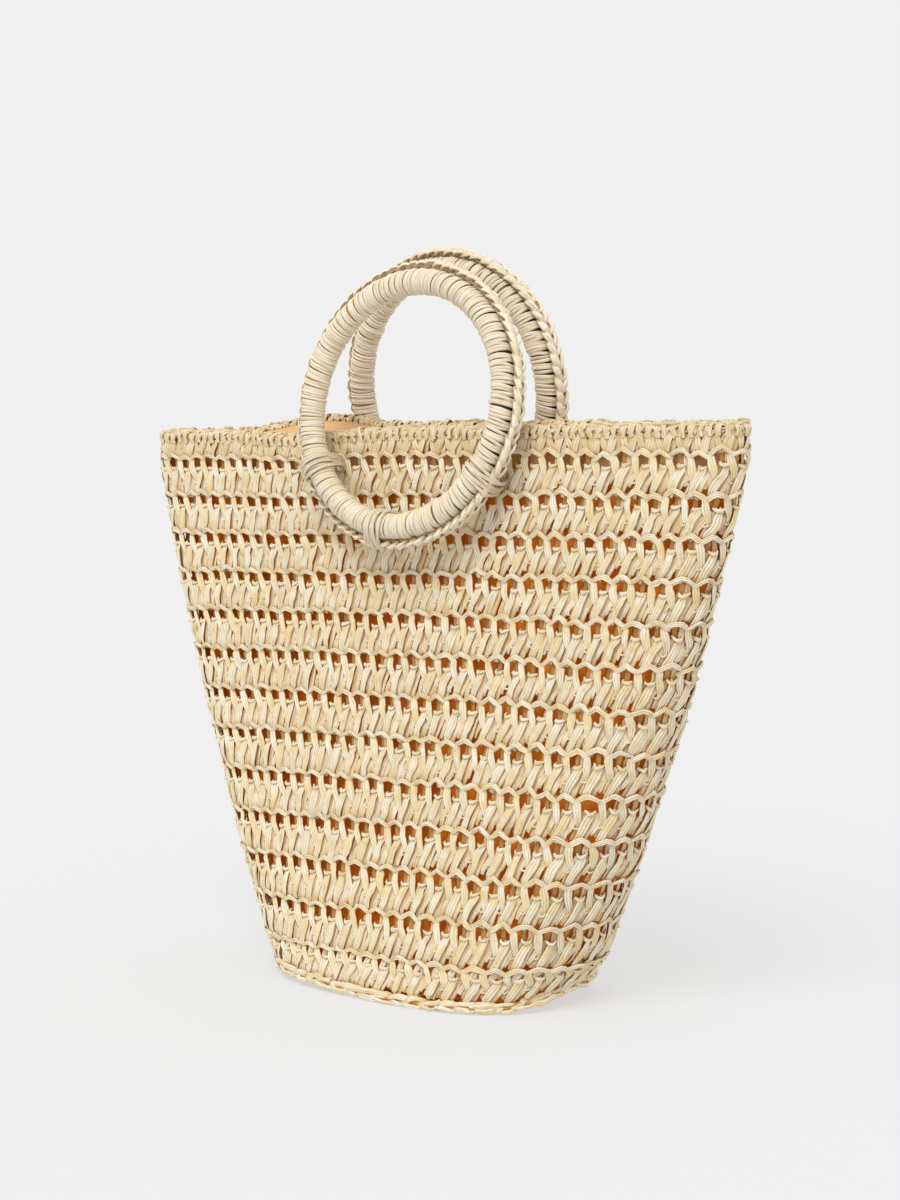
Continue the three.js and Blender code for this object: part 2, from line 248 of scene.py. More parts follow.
    def place(self, around: Array, height: Array, out: Array) -> tuple[Array, Array]:
        """Puts points on the body.

        Args:
            around: share of the way round, from the +X end by the back.
            height: height before the rim's rise is added.
            out: distance outside the surface.

        Returns:
            The points and the surface's normals there.
        """
        around, height, out = np.broadcast_arrays(around, height, out)
        row = np.clip((height - self.levels[0]) / self.step, 0, len(self.levels) - 1.001)
        column = (around % 1.0) * self.columns
        i, j = row.astype(int), np.minimum(column.astype(int), self.columns - 1)
        down, right = (row - i)[..., None], (column - j)[..., None]

        def blend(table: Array) -> Array:
            """Mixes the four table values round each point."""
            low = table[i, j] * (1 - right) + table[i, j + 1] * right
            high = table[i + 1, j] * (1 - right) + table[i + 1, j + 1] * right
            return low * (1 - down) + high * down

        normal = unit(blend(self.normals))
        return blend(self.points) + normal * out[..., None], normal

    def reach(self, side: int, x: float, z: float) -> float:
        """Says how far the wall's outside is from the middle plane.

        Args:
            side: -1 at the front and 1 at the back.
            x: place along the mouth.
            z: real height.

        Returns:
            The distance along Y.
        """
        top = self.height - self.rim_height
        near = self.points[(np.abs(self.points[..., 0] - x) < 3) & (self.points[..., 1] * side > 0)]
        near = near[np.abs(near[:, 2] - min(z, top)) < 4]
        return float(np.max(near[:, 1] * side)) if len(near) else 0.0


class StrandMesh:
    """Collects bundles of straw strands and joins them in one mesh."""

    CROWN = 1.12  # how square the top of a section is, where 1 is an ellipse
    UNDERSIDE = -0.8  # the lowest corner, as a share of half the thickness

    def __init__(self, name: str, seed: int, uneven: float = 0.16, sharp: float = 32.0) -> None:
        """Starts an empty bundle.

        Args:
            name: the piece's name.
            seed: the seed of its random draws.
            uneven: how much a strand's section strays from a plain oval.
            sharp: the fold angle, in degrees, above which an edge is crisp.
        """
        self.name = name
        self.uneven = uneven
        self.sharp = sharp
        self.random = np.random.default_rng(seed)
        self.corners: list[Array] = []
        self.faces: list[Array] = []
        self.maps: list[Array] = []
        self.tones: list[Array] = []
        self.depths: list[Array] = []
        self.side_shade_masks: list[Array] = []
        self.count = 0

    def add(
        self,
        centre: Array,
        normal: Array,
        half: Array,
        depth: Array,
        sides: int = 8,
        roll: float = 0.0,
        closed: bool = False,
        crease: float = 0.6,
    ) -> None:
        """Sweeps a flattened straw along each path.

        Args:
            centre: paths in millimetres, strands by steps by 3.
            normal: which way each step's face looks.
            half: half the width and half the thickness at each step.
            depth: how deep in the work each step lies, from 0 at the bottom to 1 on top.
            sides: corners in a cross-section.
            roll: the spread of the strands' roll about their own line, in degrees.
            closed: whether each path is a loop.
            crease: how deep the folds along it are, as a share of its thickness.
        """
        strands, steps = centre.shape[:2]
        if closed:
            tangent = unit(np.roll(centre, -1, axis=1) - np.roll(centre, 1, axis=1))
        else:
            tangent = unit(np.gradient(centre, axis=1))
        side = unit(np.cross(tangent, normal))
        face = np.cross(side, tangent)
        tilt = np.radians(self.random.normal(0, 1, (strands, 1, 1)) * roll)
        side, face = side * np.cos(tilt) + face * np.sin(tilt), face * np.cos(tilt) - side * np.sin(tilt)
        corner = np.arange(sides)
        top = sides - 1
        across = np.where(corner < top, 1 - 2 * corner / (top - 1), 0.0)
        arch = np.sqrt(np.clip(self.CROWN - across**2, 0, 1))
        over = np.where(corner % 2 == 1, arch, arch * (1 - crease))
        over = np.where((corner == 0) | (corner == top - 1), 0.0, over)
        over = np.where(corner == top, self.UNDERSIDE, over)
        slow = spline_weights(3, steps) @ self.random.normal(0, 1, (strands, 2, 3, sides))
        across = across + slow[:, 0] * self.uneven * 0.5 * (np.abs(across) < 0.99)
        over = over * (1 + slow[:, 1] * self.uneven)
        wide = (half[..., 0, None] * across)[..., None] * side[:, :, None, :]
        thick = (half[..., 1, None] * over)[..., None] * face[:, :, None, :]
        corners = centre[:, :, None, :] + wide + thick
        first = self.count + np.arange(strands)[:, None, None] * steps * sides
        rings = steps if closed else steps - 1
        ring = np.arange(rings)[None, :, None]
        corner = corner[None, None, :]
        after, beside = (ring + 1) % steps, (corner + 1) % sides
        quads = np.stack(
            [
                first + ring * sides + corner,
                first + ring * sides + beside,
                first + after * sides + beside,
                first + after * sides + corner,
            ],
            axis=-1,
        )
        run = np.linalg.norm(np.roll(centre, -1, axis=1) - centre, axis=-1)
        run = np.concatenate([np.zeros((strands, 1)), np.cumsum(run, axis=1)], axis=1)
        run = run + self.random.uniform(0, 400, (strands, 1))
        low, high = run[:, :rings, None], run[:, 1 : rings + 1, None]
        left = np.broadcast_to(corner * 1.0, (strands, rings, sides))
        right = left + 1
        low, high = np.broadcast_to(low, left.shape), np.broadcast_to(high, left.shape)
        maps = np.stack(
            [np.stack(pair, axis=-1) for pair in ((low, left), (low, right), (high, right), (high, left))],
            axis=-2,
        )
        self.corners.append(corners.reshape(-1, 3))
        self.faces.append(quads.reshape(-1, 4))
        self.maps.append(maps.reshape(-1, 2))
        self.tones.append(np.repeat(self.random.uniform(0, 1, strands), steps * sides))
        self.depths.append(np.repeat(depth.reshape(-1), sides))
        # the corners at a strand's sides and underside, where the straw finish paints shade
        edge = (np.arange(sides) == 0) | (np.arange(sides) >= top - 1)
        self.side_shade_masks.append(np.tile(edge.astype(float), strands * steps))
        if not closed:
            self._close_ends(first[:, 0, 0], steps, sides, run)
        self.count += strands * steps * sides

    def _close_ends(self, first: Array, steps: int, sides: int, run: Array) -> None:
        """Closes both ends of each strand with quads across the section."""
        pairs = sides // 2 - 1
        for ring, flip in ((0, True), (steps - 1, False)):
            base = first + ring * sides
            for k in range(pairs):
                far = base + sides - 2 - k
                quad = np.stack([base + k, base + k + 1, far, far + 1], axis=-1)
                if flip:
                    quad = quad[:, ::-1]
                self.faces.append(quad)
                spot = np.repeat(run[:, ring], 4)
                self.maps.append(np.stack([spot, np.full_like(spot, 1.0)], axis=-1))

    def build(self, material: bpy.types.Material, slot: Slot, replaces: Iterable[str]) -> None:
        """Makes the object and hands it over to the frame.

        Args:
            material: its finish.
            slot: the record's slot that the finish belongs to; it is not used.
            replaces: the solids that it stands for.
        """
        corners = np.concatenate(self.corners) * MM
        faces = np.concatenate(self.faces)
        mesh = bpy.data.meshes.new(self.name)
        mesh.vertices.add(len(corners))
        mesh.vertices.foreach_set("co", corners.astype(np.float32).ravel())
        mesh.loops.add(faces.size)
        mesh.loops.foreach_set("vertex_index", faces.astype(np.int32).ravel())
        mesh.polygons.add(len(faces))
        mesh.polygons.foreach_set("loop_start", np.arange(0, faces.size, 4, dtype=np.int32))
        mesh.polygons.foreach_set("use_smooth", np.ones(len(faces), dtype=bool))
        mesh.update(calc_edges=True)
        straw_map = mesh.uv_layers.new(name="straw")
        straw_map.data.foreach_set("uv", np.concatenate(self.maps).astype(np.float32).ravel())
        for name, values in (("tone", self.tones), ("depth", self.depths), ("edge", self.side_shade_masks)):
            attribute = mesh.attributes.new(name, "FLOAT", "POINT")
            attribute.data.foreach_set("value", np.concatenate(values).astype(np.float32))
        mesh.validate()
        piece = bpy.data.objects.new(self.name, mesh)
        bpy.context.scene.collection.objects.link(piece)
        bpy.ops.object.select_all(action="DESELECT")
        bpy.context.view_layer.objects.active = piece
        piece.select_set(True)
        bpy.ops.object.shade_smooth_by_angle(angle=math.radians(self.sharp))
        piece.data.materials.append(material)
        hand_over(piece, replaces)
        LOG.info("%s: %d faces", self.name, len(mesh.polygons))


def hand_over(piece: bpy.types.Object, replaces: Iterable[str] = ()) -> None:
    """Rides a finished piece on the body and hides the solids that it stands for.

    Args:
        piece: the finished piece, in place.
        replaces: the solids that it stands for.
    """
    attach(piece, BODY)
    names = list(replaces)
    if names:
        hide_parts(*names)


def spline_weights(points: int, steps: int) -> Array:
    """Gives the weights that turn control points into a smooth row of samples.

    Args:
        points: how many control points there are.
        steps: how many samples to take.

    Returns:
        A matrix of samples by control points.
    """
    weights = np.zeros((steps, points))
    for row, place in enumerate(np.linspace(0, points - 1, steps)):
        i = min(int(place), points - 2)
        t = place - i
        shares = (
            (i - 1, (-t + 2 * t**2 - t**3) / 2),
            (i, (2 - 5 * t**2 + 3 * t**3) / 2),
            (i + 1, (t + 4 * t**2 - 3 * t**3) / 2),
            (i + 2, (-(t**2) + t**3) / 2),
        )
        for column, share in shares:
            weights[row, min(max(column, 0), points - 1)] += share
    return weights


@dataclass(frozen=True)
class Strand:
    """One strand of a stitch.

    Each row of points is the place along the stitch and down it, as shares of the stitch, the height out
    of the work, half the width and half the thickness, in millimetres.
    """

    points: tuple[tuple[float, float, float, float, float], ...]
    steps: int
    sides: int = 8
    roll: float = 8.0
    crease: float = 0.6
    chance: float = 1.0
    flare: float = 0.0  # how much it grows where the work is loosest, or shrinks if below 0


@dataclass(frozen=True)
class Wander:
    """How far hand work strays, as shares of a stitch or millimetres."""

    along: float = 0.03
    down: float = 0.02
    out: float = 0.22
    width: float = 0.1
    stitch: float = 0.045


ARCH = Strand(
    (
        (-0.12, 0.065, 1.0, 0.8, 0.6),
        (0.04, 0.045, 1.7, 1.0, 0.75),
        (0.26, -0.005, 2.3, 1.15, 0.8),
        (0.5, -0.045, 2.5, 1.2, 0.85),
        (0.76, -0.005, 2.3, 1.15, 0.8),
        (0.96, 0.045, 1.8, 1.0, 0.75),
        (1.1, 0.065, 1.2, 0.8, 0.6),
    ),
    steps=9,
    flare=0.6,
)
LEFT_LEG = Strand(
    (
        (-0.02, 0.03, 1.1, 1.7, 0.7),
        (0.06, 0.17, 1.6, 2.1, 0.8),
        (0.15, 0.32, 1.7, 2.2, 0.8),
        (0.25, 0.46, 1.4, 2.0, 0.75),
        (0.33, 0.59, 0.9, 1.7, 0.65),
        (0.38, 0.7, 0.2, 1.3, 0.55),
    ),
    steps=7,
)
RIGHT_LEG = Strand(
    (
        (0.8, 0.31, 1.0, 1.6, 0.6),
        (0.73, 0.42, 1.7, 2.1, 0.8),
        (0.63, 0.57, 1.9, 2.3, 0.85),
        (0.53, 0.73, 1.7, 2.2, 0.8),
        (0.44, 0.88, 1.4, 2.0, 0.75),
        (0.38, 1.03, 0.7, 1.6, 0.6),
    ),
    steps=7,
)
CAP = Strand(
    (
        (0.44, 0.27, 0.4, 0.6, 0.45),
        (0.56, 0.315, 2.1, 0.95, 0.75),
        (0.74, 0.33, 2.6, 1.0, 0.8),
        (0.92, 0.28, 0.9, 0.6, 0.45),
    ),
    steps=5,
    sides=6,
    crease=0.0,
)
SMILE = Strand(
    (
        (0.02, 0.66, 0.4, 0.4, 0.35),
        (0.14, 0.695, 1.2, 0.55, 0.45),
        (0.28, 0.7, 1.3, 0.55, 0.45),
        (0.42, 0.66, 0.6, 0.4, 0.35),
    ),
    steps=5,
    sides=6,
    crease=0.0,
    chance=0.7,
)
BACK_POST = Strand(
    (
        (0.78, -0.03, -0.4, 1.3, 0.5),
        (0.81, 0.09, 0.0, 1.6, 0.6),
        (0.83, 0.22, 0.1, 1.6, 0.6),
        (0.84, 0.36, -0.1, 1.4, 0.5),
    ),
    steps=4,
    sides=6,
    chance=0.9,
)
LOWER_POST = Strand(
    (
        (0.2, 0.56, 0.5, 1.2, 0.5),
        (0.1, 0.72, 0.8, 1.6, 0.65),
        (-0.01, 0.88, 0.7, 1.6, 0.65),
        (-0.08, 1.03, 0.2, 1.3, 0.5),
    ),
    steps=5,
    sides=6,
    flare=-0.25,
)
SLANT_FILL = Strand(
    (
        (1.02, 0.34, 0.1, 1.6, 0.5),
        (0.9, 0.56, 0.5, 2.0, 0.6),
        (0.76, 0.8, 0.5, 2.0, 0.6),
        (0.64, 1.03, 0.0, 1.7, 0.5),
    ),
    steps=5,
    sides=6,
)
STEEP_FILL = Strand(
    (
        (0.52, 0.35, 0.0, 1.6, 0.5),
        (0.43, 0.56, 0.4, 1.9, 0.6),
        (0.31, 0.8, 0.3, 1.8, 0.6),
        (0.2, 1.03, -0.1, 1.5, 0.5),
    ),
    steps=5,
    sides=6,
    flare=-0.1,
)
INNER_BAND = Strand(
    (
        (0.42, -0.04, -1.5, 1.3, 0.5),
        (0.5, 0.14, -1.2, 1.5, 0.5),
        (0.55, 0.38, -1.5, 1.4, 0.5),
    ),
    steps=3,
    sides=6,
    chance=0.8,
)
WALL_STITCH = (
    ARCH,
    LEFT_LEG,
    RIGHT_LEG,
    CAP,
    SMILE,
    BACK_POST,
    LOWER_POST,
    SLANT_FILL,
    STEEP_FILL,
    INNER_BAND,
)
FOOT_FILL = Strand(
    (
        (0.6, -0.02, 0.2, 1.8, 0.6),
        (0.5, 0.2, 0.9, 2.1, 0.7),
        (0.42, 0.45, 0.8, 1.8, 0.6),
    ),
    steps=4,
    sides=6,
)

RIM_STITCH = (
    Strand(
        (
            (0.7, -0.06, 0.4, 1.7, 0.6),
            (0.63, 0.25, 1.2, 2.3, 0.75),
            (0.54, 0.6, 1.4, 2.4, 0.8),
            (0.46, 1.02, 0.8, 1.9, 0.7),
        ),
        steps=5,
    ),
    Strand(
        (
            (0.0, -0.04, 0.3, 1.4, 0.5),
            (0.08, 0.35, 1.0, 1.8, 0.6),
            (0.18, 0.7, 0.9, 1.8, 0.6),
            (0.26, 1.02, 0.2, 1.4, 0.5),
        ),
        steps=5,
        sides=6,
    ),
    Strand(
        (
            (0.4, -0.04, 0.0, 1.5, 0.5),
            (0.33, 0.4, 0.3, 1.7, 0.5),
            (0.2, 0.75, 0.3, 1.7, 0.5),
            (0.08, 1.02, -0.1, 1.4, 0.5),
        ),
        steps=4,
        sides=6,
    ),
    Strand(
        (
            (0.95, -0.04, 0.0, 1.5, 0.5),
            (0.88, 0.4, 0.5, 1.9, 0.5),
            (0.8, 0.75, 0.5, 1.9, 0.5),
            (0.74, 1.02, 0.0, 1.5, 0.5),
        ),
        steps=4,
        sides=6,
    ),
)
TIGHT_STITCH = (
    Strand(
        ((-0.05, -0.1, 0.5, 0.9, 0.5), (0.18, 0.4, 1.1, 1.2, 0.6), (0.5, 1.15, 0.4, 0.9, 0.5)),
        steps=4,
        sides=6,
    ),
    Strand(
        ((1.0, -0.15, 0.5, 0.9, 0.5), (0.8, 0.4, 1.2, 1.25, 0.6), (0.5, 1.1, 0.5, 0.9, 0.5)),
        steps=4,
        sides=6,
    ),
    Strand(
        ((-0.1, 0.1, 0.6, 0.5, 0.4), (0.45, -0.05, 1.4, 0.75, 0.5), (1.1, 0.12, 0.6, 0.5, 0.4)),
        steps=4,
        sides=6,
        crease=0.0,
    ),
)


@dataclass
class StitchRow:
    """A row of stitches round the body."""

    form: BagForm
    top: float
    depth: float
    count: int
    phase: float
    wander: Wander = field(default_factory=Wander)
    front_middle: float = 0.75
    swing: float = 0.12  # how much wider the stitches are at the front right than on average
    widest: float = 0.17
    seat: float = -1.0  # how far out of the form's surface the strands sit, inside it if below 0
    deepest: float = -2.0
    proudest: float = 2.6
    thinnest: float = 0.25
    flare_spread: tuple[float, float] = (0.4, 1.2)
    flare_width: float = 0.4  # the share of a flare that also widens the strand

    def around(self, place: Array) -> Array:
        """Turns a place in stitches into a share of the way round."""
        share = place / self.count
        shift = self.swing / FULL_TURN * np.cos(FULL_TURN * (share - self.widest + 0.25))
        return self.front_middle + share - shift

    def looseness(self, around: Array) -> Array:
        """Says how loose the work is at a share of the way round, from 0 to 1."""
        return np.clip(np.cos(FULL_TURN * (around - self.front_middle - self.widest)), 0, 1) ** 2

    def knit(self, mesh: StrandMesh, stitch: tuple[Strand, ...]) -> None:
        """Adds the row's strands to a mesh.

        Args:
            mesh: where the strands go.
            stitch: the strands of one stitch.
        """
        random = mesh.random
        stray = self.wander
        lean = random.normal(0, stray.stitch, (self.count, 1))
        sag = random.normal(0, stray.down, (self.count, 1))
        for strand in stitch:
            control = np.tile(np.array(strand.points), (self.count, 1, 1))
            shape = control.shape[:2]
            control[..., 0] += lean + random.normal(0, stray.along, shape)
            control[..., 1] += sag + random.normal(0, stray.down / 2, shape)
            control[..., 2] += random.normal(0, stray.out, shape)
            control[..., 3:] *= 1 + random.normal(0, stray.width, (*shape, 2))
            looseness = self.looseness(self.around(np.arange(self.count) + self.phase + 0.5))
            uneven = random.uniform(*self.flare_spread, self.count)
            control[..., 1] *= 1 + (strand.flare * looseness * uneven)[:, None]
            control[..., 3] *= 1 + (self.flare_width * strand.flare * looseness)[:, None]
            keep = random.uniform(0, 1, self.count) < strand.chance
            samples = np.einsum("sp,npc->nsc", spline_weights(shape[1], strand.steps), control)[keep]
            stitches = np.arange(self.count)[keep, None]
            around = self.around(stitches + self.phase + samples[..., 0])
            height = self.top - samples[..., 1] * self.depth
            centre, normal = self.form.place(around, height, samples[..., 2] + self.seat)
            depth = (samples[..., 2] - self.deepest) / (self.proudest - self.deepest)
            mesh.add(
                centre,
                normal,
                np.maximum(samples[..., 3:], self.thinnest),
                np.clip(depth, 0, 1),
                sides=strand.sides,
                roll=strand.roll,
                crease=strand.crease,
            )


@dataclass
class CrochetWall:
    """The open-work wall: rows of stitches, each under its scalloped ridge."""

    form: BagForm
    ridges: int = 13
    lowest_ridge: float = 21.0
    top_ridge: float = 275.0
    foot: float = 6.0
    pitch: float = 9.8
    drift: float = 0.28  # how far each row is moved along from the one above, in stitches
    bands: tuple[tuple[str, int, int], ...] = (
        ("wall_rows_foot", 0, 4),
        ("wall_rows_low", 4, 7),
        ("wall_rows_high", 7, 10),
        ("wall_rows_top", 10, 13),
    )

    def row(self, index: int) -> StitchRow:
        """Gives the row of stitches that hangs from a ridge."""
        step = (self.top_ridge - self.lowest_ridge) / (self.ridges - 1)
        top = self.lowest_ridge + index * step
        depth = step if index else top - self.foot
        count = 2 * round(self.form.length_at(top - depth / 2) / (2 * self.pitch))
        phase = self.drift * (index - self.ridges)
        return StitchRow(self.form, top, depth, count, phase)

    def build(self, material: bpy.types.Material) -> None:
        """Makes the bands of rows."""
        for name, first, last in self.bands:
            mesh = StrandMesh(name, seed=first + 11)
            for index in range(first, last):
                self.row(index).knit(mesh, WALL_STITCH if index else (*WALL_STITCH, FOOT_FILL))
            mesh.build(material, Slot.CROCHET, ["basket_wall"])


@dataclass(frozen=True)
class Chain:
    """A crocheted chain: a row of V stitches whose two legs overlap the next."""

    spread: float  # from the middle to a leg's outer bend
    rise: float
    half_width: float
    half_thick: float
    overlap: float = 1.45
    steps: int = 7
    sides: int = 6
    stray: float = 0.05
    tilt: float = 0.6  # how far a leg's face turns away from the middle

    def lay(self, mesh: StrandMesh, curve: CurveAt, count: int) -> None:
        """Lays the chain along a closed curve.

        Args:
            mesh: where the legs go.
            curve: gives the middle, the sideways direction and the outward one for shares of its length.
            count: how many links there are.
        """
        shape = np.array(
            [
                (0.0, 0.1, -0.2, 0.7, 0.8),
                (0.3, 0.4, 0.6, 0.95, 1.0),
                (0.7, 0.85, 0.95, 1.05, 1.0),
                (1.1, 0.95, 0.6, 1.0, 1.0),
                (self.overlap, 0.5, -0.3, 0.7, 0.8),
            ]
        )
        weights = spline_weights(len(shape), self.steps)
        for side in (-1, 1):
            control = np.tile(shape, (count, 1, 1))
            control += mesh.random.normal(0, self.stray, control.shape)
            samples = np.einsum("sp,npc->nsc", weights, control)
            share = (np.arange(count)[:, None] + samples[..., 0]) / count
            middle, sideways, outward = curve(share)
            lateral = side * self.spread * samples[..., 1, None] * sideways
            lift = self.rise * samples[..., 2, None] * outward
            half = samples[..., 3:] * np.array([self.half_width, self.half_thick])
            normal = unit(outward + side * self.tilt * sideways * samples[..., 1, None])
            depth = np.clip(0.35 + 0.65 * samples[..., 2], 0, 1)
            mesh.add(middle + lateral + lift, normal, half, depth, self.sides, roll=8, crease=0.0)


@dataclass
class RimBand:
    """The close-worked rim: tall stitches below, and tight ones that roll over its edge."""

    form: BagForm
    foot: float = 275.0
    waist: float = 284.0
    edge: float = 288.8
    thickness: float = 4.5
    pitch: float = 9.8

    def build(self, material: bpy.types.Material) -> None:
        """Makes the rim."""
        mesh = StrandMesh("rim_stitches", seed=5)
        around = self.form.length_at(self.foot)
        count = 2 * round(around / (2 * self.pitch))
        StitchRow(self.form, self.waist, self.waist - self.foot, count, 0.0).knit(mesh, RIM_STITCH)
        restless = Wander(0.24, 0.2, 0.35, 0.2, 0.2)
        middle = (self.waist + self.edge) / 2
        for top, phase in ((middle, 0.0), (self.edge + 0.4, 0.45)):
            row = StitchRow(self.form, top, middle - self.waist, 2 * count, phase, restless)
            row.knit(mesh, TIGHT_STITCH)
        self._roll_over(mesh, 2 * count)
        mesh.build(material, Slot.CROCHET, ["rim_band"])

    def _roll_over(self, mesh: StrandMesh, count: int) -> None:
        """Adds the tight stitches that roll over the rim's edge.

        Args:
            mesh: where they go.
            count: how many there are.
        """
        half = self.thickness / 2
        path = np.array(
            [
                (0.3, self.waist - 1.2, 0.3),
                (0.15, self.waist + 1.8, 1.0),
                (0.0, self.edge - 1.2, 0.9),
                (-0.05, self.edge, 0.4 - half),
                (0.05, self.edge - 1.2, -0.2 - self.thickness),
                (0.12, self.edge - 2.8, 0.5 - self.thickness),
            ]
        )
        for slant, wide, offset in ((1.0, 1.45, 0.0), (-1.6, 1.2, 0.5)):
            control = np.tile(path, (count, 1, 1))
            control[..., 0] = control[..., 0] * slant + offset
            control += mesh.random.normal(0, 1, control.shape) * np.array([0.08, 0.35, 0.15])
            control[:, 2:5, 1] += mesh.random.uniform(-0.9, 1.3, (count, 1))
            samples = np.einsum("sp,npc->nsc", spline_weights(len(path), 9), control)
            place = 0.75 + (np.arange(count)[:, None] + samples[..., 0]) / count
            centre, _ = self.form.place(place, samples[..., 1], samples[..., 2])
            core, _ = self.form.place(place, np.full_like(place, self.edge - 3), np.full_like(place, -half))
            widths = np.broadcast_to([wide, 0.6], (*samples.shape[:2], 2))
            shade = np.broadcast_to(0.8 if offset else 0.95, samples.shape[:2])
            mesh.add(centre, unit(centre - core), widths, shade, sides=6, roll=10, crease=0.0)


@dataclass
class BaseWork:
    """The crocheted base and the braided chain round its edge."""

    form: BagForm
    radius: float = 3.0
    clearance: float = 0.3
    panel_middle: float = 2.0
    spine: float = 32.0  # half the length of the line that the rounds close on
    rounds: int = 7
    braid_pitch: float = 9.6

    def build(self, material: bpy.types.Material) -> None:
        """Makes the base's rounds and its braid."""
        braid = StrandMesh("base_braid_links", seed=21)
        length = self.form.length_at(self.radius)
        links = round(length / self.braid_pitch)
        Chain(1.9, 0.9, 1.55, 1.05, steps=8, sides=8, stray=0.2).lay(braid, self._edge, links)
        self._core(braid)
        braid.build(material, Slot.CROCHET, ["base_braid"])
        panel = StrandMesh("base_rounds", seed=22)
        for index in range(self.rounds):
            inset = (index + 0.5) / self.rounds
            curve = self._round_at(inset)
            count = max(8, round(length * (1 - inset * 0.72) / 8.5))
            Chain(2.6, 0.6, 1.5, 0.75, steps=7).lay(panel, curve, count)
        panel.build(material, Slot.CROCHET, ["base_panel"])

    def _level(self, share: Array, out: float, height: float) -> tuple[Array, Array]:
        """Gives points of the foot's outline laid level at a height, and the outward directions."""
        level = np.full_like(share, self.radius)
        points, normal = self.form.place(share, level, np.zeros_like(share))
        flat = unit(normal * np.array([1.0, 1.0, 0.0]))
        points = points + flat * out
        points[..., 2] = height + self.form.curl(points)
        return points, flat

    def _edge(self, share: Array) -> tuple[Array, Array, Array]:
        """Gives the curve round the base's edge, for links that look outwards and a little up."""
        middle, flat = self._level(share, 0.2, self.clearance + self.radius)
        up = np.broadcast_to(np.array([0.0, 0.0, 1.0]), flat.shape)
        return middle, up, flat

    def _core(self, mesh: StrandMesh) -> None:
        """Adds the strand inside the braid."""
        share = np.linspace(0, 1, 160, endpoint=False)[None]
        middle, flat = self._level(share, -0.6, self.clearance + self.radius)
        half = np.broadcast_to([2.0, 1.8], (*share.shape, 2))
        # its low depth gives the braid's core the painted shade of deep-lying strands
        mesh.add(middle, flat, half, np.full(share.shape, 0.15), closed=True, crease=0.0)

    def _round_at(self, inset: float) -> CurveAt:
        """Gives the curve of one round of the base.

        Args:
            inset: how far in the round is, from 0 at the edge to 1 at the spine.

        Returns:
            The curve.
        """

        def curve(share: Array) -> tuple[Array, Array, Array]:
            """Gives points of this round."""
            edge, flat = self._level(share, -self.radius, self.panel_middle)
            spine = edge * np.array([2 * self.spine / self.form.base_length, 0.0, 1.0])
            down = np.broadcast_to(np.array([0.0, 0.0, -1.0]), flat.shape)
            middle = edge * (1 - inset) + spine * inset
            middle[..., 2] = self.panel_middle + self.form.curl(middle)
            return middle, flat, down

        return curve


